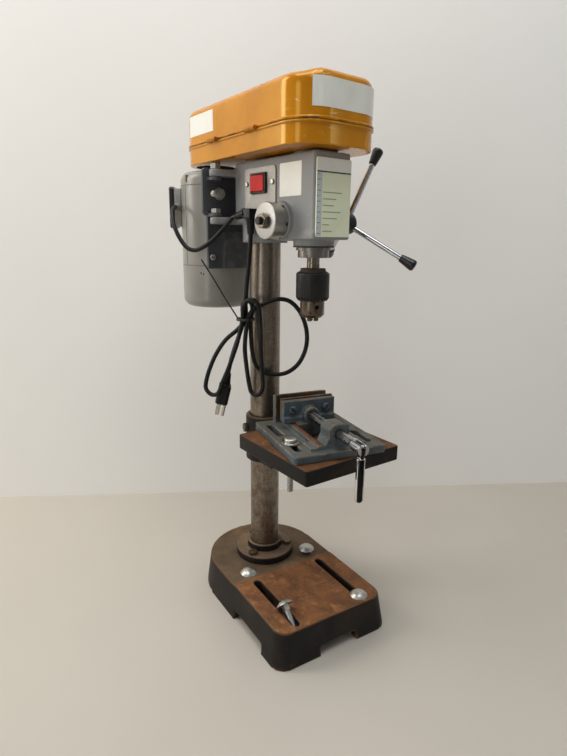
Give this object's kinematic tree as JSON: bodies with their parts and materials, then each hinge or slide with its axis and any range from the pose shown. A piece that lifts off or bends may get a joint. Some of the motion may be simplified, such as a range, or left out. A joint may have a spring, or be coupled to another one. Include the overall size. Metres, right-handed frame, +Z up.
{
  "type": "benchtop drill press",
  "caption": "Worn benchtop drill press with a yellow pulley cover, grey motor and head, rusty tilting table with a small vise, and a tied-up mains cord",
  "frame": {"origin": "on the floor on the column axis, at the foot boss under the base", "axes": "+Z up along the column; -Y is the front, towards the spindle; +X is the operator's right, the feed handle's side"},
  "size_m": [0.2693, 0.4334, 0.7524],
  "materials": {
    "cast_iron_dark": "dark oiled casting with rust",
    "table_rust": "rusty machined top over dark paint",
    "fastener_steel": "worn zinc plate",
    "column_steel": "ground steel with brown stains",
    "machined_steel": "ground steel, lightly stained",
    "jaw_steel": "rusty jaw facing",
    "vise_paint": "grey enamel, chipped",
    "bright_chrome": "worn chrome",
    "head_paint": "grey hammered enamel",
    "motor_paint": "grey enamel",
    "cover_yellow": "yellow enamel, scratched",
    "black_metal": "black enamel",
    "black_plastic": "moulded black",
    "red_plastic": "moulded red",
    "black_rubber": "black jacket",
    "plate_aluminium": "satin",
    "blade_brass": "plated blades"
  },
  "bodies": {
    "stand": {"base": "cast_iron_dark", "base_bolts": "fastener_steel", "column_flange": "cast_iron_dark", "flange_bolts": "fastener_steel", "column": "column_steel"},
    "table_carrier": {"table_bracket": "cast_iron_dark", "table_bolts": "fastener_steel"},
    "table": {"table": "table_rust", "vise_body": "vise_paint", "vise_fixed_plate": "jaw_steel", "vise_hold_downs": "fastener_steel"},
    "vise_jaw": {"vise_moving_jaw": "vise_paint", "vise_moving_plate": "jaw_steel", "vise_jaw_screws": "fastener_steel"},
    "vise_screw": {"vise_screw": "bright_chrome"},
    "vise_handle": {"vise_handle": "bright_chrome"},
    "head": {"head_casting": "head_paint", "head_bolts": "fastener_steel", "pulley_housing": "cover_yellow", "housing_hinges": "cover_yellow", "switch_plate": "plate_aluminium", "switch_plate_screws": "fastener_steel", "switch_body": "black_plastic", "spring_cap": "plate_aluminium", "return_spring": "machined_steel", "pulley_bearing": "machined_steel", "v_belt": "black_rubber", "cord_gland": "black_rubber", "motor_lead": "black_rubber", "power_cord": "black_rubber", "plug": "black_rubber", "plug_blades": "blade_brass", "cord_tie": "black_plastic"},
    "quill": {"quill": "machined_steel", "spindle_bearings": "machined_steel"},
    "spindle": {"spindle": "machined_steel", "chuck_body": "machined_steel"},
    "chuck_sleeve": {"chuck_sleeve": "black_metal"},
    "chuck_jaw_1": {"chuck_jaw_1": "machined_steel"},
    "chuck_jaw_2": {"chuck_jaw_2": "machined_steel"},
    "chuck_jaw_3": {"chuck_jaw_3": "machined_steel"},
    "feed": {"pinion_shaft": "machined_steel", "feed_hub": "black_plastic", "feed_spokes": "bright_chrome", "feed_knobs": "black_plastic", "spring_nuts": "fastener_steel"},
    "rocker": {"switch_rocker": "red_plastic"},
    "lid": {"pulley_lid": "cover_yellow", "lid_hinges": "cover_yellow"},
    "spindle_pulley": {"spindle_pulley": "plate_aluminium"},
    "motor": {"motor_bracket": "black_metal", "motor_shell": "motor_paint", "motor_end_bells": "motor_paint", "stator": "machined_steel", "junction_box": "motor_paint", "junction_cover": "black_plastic", "motor_bolts": "fastener_steel"},
    "rotor": {"motor_rotor": "machined_steel", "motor_pulley": "plate_aluminium"}
  },
  "joints": [
    {"name": "head_swing", "type": "hinge", "parent": "stand", "child": "head", "pos_m": [0, 0, 0.584], "axis": [0, 0, 1], "range_deg": [-90, 5]},
    {"name": "table_height", "type": "slide", "parent": "stand", "child": "table_carrier", "axis": [0, 0, -1], "range_m": [0, 0.12]},
    {"name": "table_tilt", "type": "hinge", "parent": "table_carrier", "child": "table", "pos_m": [0, 0, 0.245], "axis": [-0.061, 0.9981, 0], "range_deg": [-45, 45]},
    {"name": "vise_jaw_slide", "type": "slide", "parent": "table", "child": "vise_jaw", "axis": [-0.165, -0.9863, 0], "range_m": [-0.015, 0.035]},
    {"name": "vise_screw_turn", "type": "hinge", "parent": "vise_jaw", "child": "vise_screw", "pos_m": [0.00715, -0.13331, 0.322], "axis": [-0.165, -0.9863, 0], "range_deg": [-1798, 4198]},
    {"name": "vise_handle_swing", "type": "hinge", "parent": "vise_screw", "child": "vise_handle", "pos_m": [-0.01265, -0.25167, 0.322], "axis": [-0.9863, 0.165, 0], "range_deg": [0, 90]},
    {"name": "feed_turn", "type": "hinge", "parent": "head", "child": "feed", "pos_m": [0.00835, -0.07941, 0.586], "axis": [0.9945, 0.1045, 0], "range_deg": [0, 272.5], "stiffness_Nm_per_rad": 0.3, "springref_deg": -68.75},
    {"name": "quill_feed", "type": "slide", "parent": "head", "child": "quill", "axis": [0, 0, -1], "range_m": [0, 0.05]},
    {"name": "spindle_spin", "type": "hinge", "parent": "quill", "child": "spindle", "pos_m": [0.01139, -0.1084, 0.55], "axis": [0, 0, 1], "continuous": true},
    {"name": "chuck_sleeve_turn", "type": "hinge", "parent": "spindle", "child": "chuck_sleeve", "pos_m": [0.01139, -0.1084, 0.5], "axis": [0, 0, 1], "range_deg": [0, 432]},
    {"name": "rocker_tip", "type": "hinge", "parent": "head", "child": "rocker", "pos_m": [-0.0284, -0.03114, 0.637], "axis": [0, 0, 1], "range_deg": [-12, 0]},
    {"name": "lid_hinge", "type": "hinge", "parent": "head", "child": "lid", "pos_m": [-0.05895, -0.12721, 0.6972], "axis": [0.0483, -0.9988, 0], "range_deg": [0, 100]},
    {"name": "spindle_pulley_spin", "type": "hinge", "parent": "head", "child": "spindle_pulley", "pos_m": [0.01139, -0.1084, 0.7], "axis": [0, 0, 1], "continuous": true},
    {"name": "motor_tension", "type": "hinge", "parent": "head", "child": "motor", "pos_m": [-0.0604, 0.0389, 0.618], "axis": [0, 0, 1], "range_deg": [-6, 0], "deforming": ["v_belt", "motor_lead"]},
    {"name": "motor_spin", "type": "hinge", "parent": "motor", "child": "rotor", "pos_m": [-0.02238, 0.1173, 0.6], "axis": [0, 0, 1], "continuous": true},
    {"name": "chuck_jaw_1_slide", "type": "slide", "parent": "spindle", "child": "chuck_jaw_1", "axis": [0.0361, 0.1699, 0.9848], "range_m": [0, 0.008]},
    {"name": "chuck_jaw_2_slide", "type": "slide", "parent": "spindle", "child": "chuck_jaw_2", "axis": [-0.1651, -0.0537, 0.9848], "range_m": [0, 0.008]},
    {"name": "chuck_jaw_3_slide", "type": "slide", "parent": "spindle", "child": "chuck_jaw_3", "axis": [0.129, -0.1162, 0.9848], "range_m": [0, 0.008]}
  ],
  "couplings": [
    {"joint": "quill_feed", "follows": "feed_turn", "m_per_rad": 0.0105},
    {"joint": "spindle_pulley_spin", "follows": "motor_spin", "ratio": 0.4875},
    {"joint": "spindle_spin", "follows": "motor_spin", "ratio": 0.4875},
    {"joint": "vise_jaw_slide", "follows": "vise_screw_turn", "m_per_rad": 0.0004775},
    {"joint": "chuck_jaw_1_slide", "follows": "chuck_sleeve_turn", "m_per_rad": 0.001061},
    {"joint": "chuck_jaw_2_slide", "follows": "chuck_sleeve_turn", "m_per_rad": 0.001061},
    {"joint": "chuck_jaw_3_slide", "follows": "chuck_sleeve_turn", "m_per_rad": 0.001061}
  ]
}
